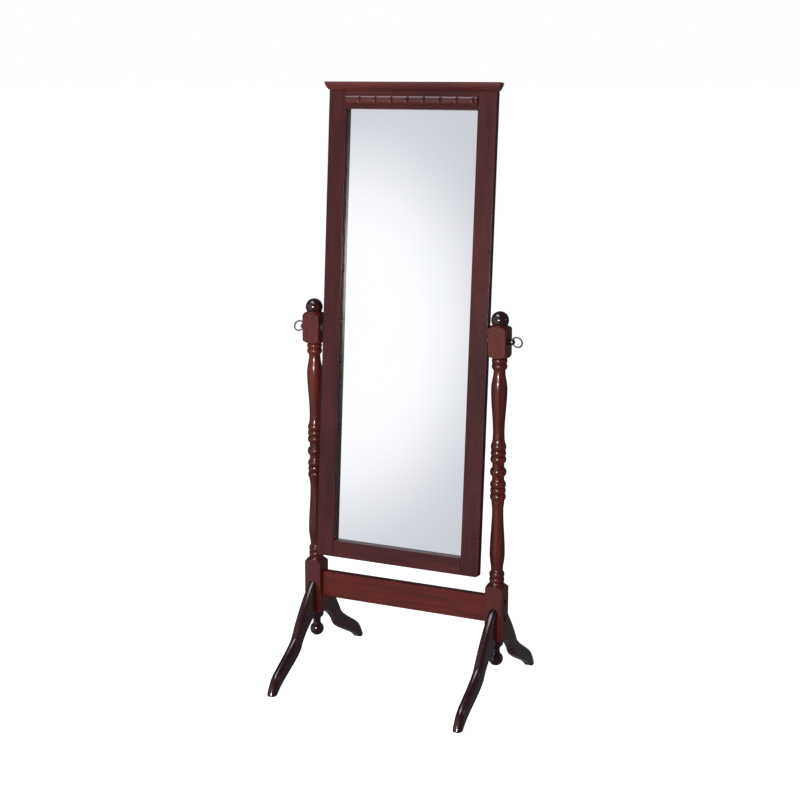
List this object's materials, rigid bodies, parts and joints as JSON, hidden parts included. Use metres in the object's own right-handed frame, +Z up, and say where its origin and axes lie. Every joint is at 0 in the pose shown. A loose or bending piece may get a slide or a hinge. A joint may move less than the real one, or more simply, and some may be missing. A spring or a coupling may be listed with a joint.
{
  "type": "cheval floor mirror",
  "caption": "Free-standing full-length mirror that tilts between turned posts on sabre legs, with a plain frame, crown moulding and notched beading.",
  "frame": {"origin": "on the floor, midway between the two posts and midway between the front and rear toes", "axes": "+Z up, the mirror faces -Y, +X to the right of a person who stands in front of it"},
  "size_m": [0.6182, 0.501, 1.5],
  "materials": {
    "post_wood": "deep cherry stain under clear gloss lacquer",
    "dark_wood": "near-black cherry stain under clear gloss lacquer",
    "frame_wood": "dark cherry stain under satin-gloss lacquer",
    "crown_wood": "dark cherry stain under satin-gloss lacquer",
    "raw_wood": "bare beech",
    "hardboard": "bare pressed hardboard, smooth side out",
    "silvered_glass": "flat silvered float glass",
    "aged_brass": "dark antiqued brass",
    "dark_steel": "blackened steel",
    "zinc": "bright zinc plate on steel",
    "nylon": "black nylon"
  },
  "bodies": {
    "stand": {"left_post": "post_wood", "right_post": "post_wood", "left_ball_finial": "dark_wood", "right_ball_finial": "dark_wood", "left_drop_finial": "dark_wood", "right_drop_finial": "dark_wood", "front_left_leg": "dark_wood", "rear_left_leg": "dark_wood", "front_right_leg": "dark_wood", "rear_right_leg": "dark_wood", "front_left_leg_dowel_lower": "raw_wood", "front_left_leg_dowel_upper": "raw_wood", "rear_left_leg_dowel_lower": "raw_wood", "rear_left_leg_dowel_upper": "raw_wood", "front_right_leg_dowel_lower": "raw_wood", "front_right_leg_dowel_upper": "raw_wood", "rear_right_leg_dowel_lower": "raw_wood", "rear_right_leg_dowel_upper": "raw_wood", "stretcher": "post_wood", "left_stretcher_bolt_lower": "dark_steel", "left_stretcher_bolt_upper": "dark_steel", "right_stretcher_bolt_lower": "dark_steel", "right_stretcher_bolt_upper": "dark_steel", "left_barrel_nut_lower": "zinc", "left_barrel_nut_upper": "zinc", "right_barrel_nut_lower": "zinc", "right_barrel_nut_upper": "zinc"},
    "mirror": {"left_stile": "frame_wood", "right_stile": "frame_wood", "top_rail": "frame_wood", "bottom_rail": "frame_wood", "crown_moulding": "crown_wood", "beading": "crown_wood", "mirror_glass": "silvered_glass", "backing_board": "hardboard", "left_backing_screw_1": "zinc", "left_backing_screw_2": "zinc", "left_backing_screw_3": "zinc", "left_backing_screw_4": "zinc", "right_backing_screw_1": "zinc", "right_backing_screw_2": "zinc", "right_backing_screw_3": "zinc", "right_backing_screw_4": "zinc", "top_backing_screw": "zinc", "bottom_backing_screw": "zinc", "left_spacer_washer": "nylon", "right_spacer_washer": "nylon", "left_threaded_insert": "zinc", "right_threaded_insert": "zinc"},
    "left_screw_washer": {"left_outer_washer": "dark_steel"},
    "left_ring_screw": {"left_ring_knob": "aged_brass", "left_pivot_bolt": "dark_steel"},
    "right_screw_washer": {"right_outer_washer": "dark_steel"},
    "right_ring_screw": {"right_ring_knob": "aged_brass", "right_pivot_bolt": "dark_steel"}
  },
  "joints": [
    {"name": "mirror_tilt", "type": "hinge", "parent": "stand", "child": "mirror", "pos_m": [0, 0, 0.893], "axis": [1, 0, 0], "range_deg": [-165, 175]},
    {"name": "left_screw_travel", "type": "slide", "parent": "stand", "child": "left_screw_washer", "axis": [-1, 0, 0], "range_m": [0, 0.00156]},
    {"name": "left_screw_turn", "type": "hinge", "parent": "left_screw_washer", "child": "left_ring_screw", "pos_m": [-0.273, 0, 0.893], "axis": [-1, 0, 0], "range_deg": [0, 451]},
    {"name": "right_screw_travel", "type": "slide", "parent": "stand", "child": "right_screw_washer", "axis": [1, 0, 0], "range_m": [0, 0.00156]},
    {"name": "right_screw_turn", "type": "hinge", "parent": "right_screw_washer", "child": "right_ring_screw", "pos_m": [0.273, 0, 0.893], "axis": [1, 0, 0], "range_deg": [0, 451]}
  ],
  "couplings": [
    {"joint": "left_screw_turn", "follows": "left_screw_travel", "rad_per_m": 5026.5},
    {"joint": "right_screw_turn", "follows": "right_screw_travel", "rad_per_m": 5026.5}
  ]
}
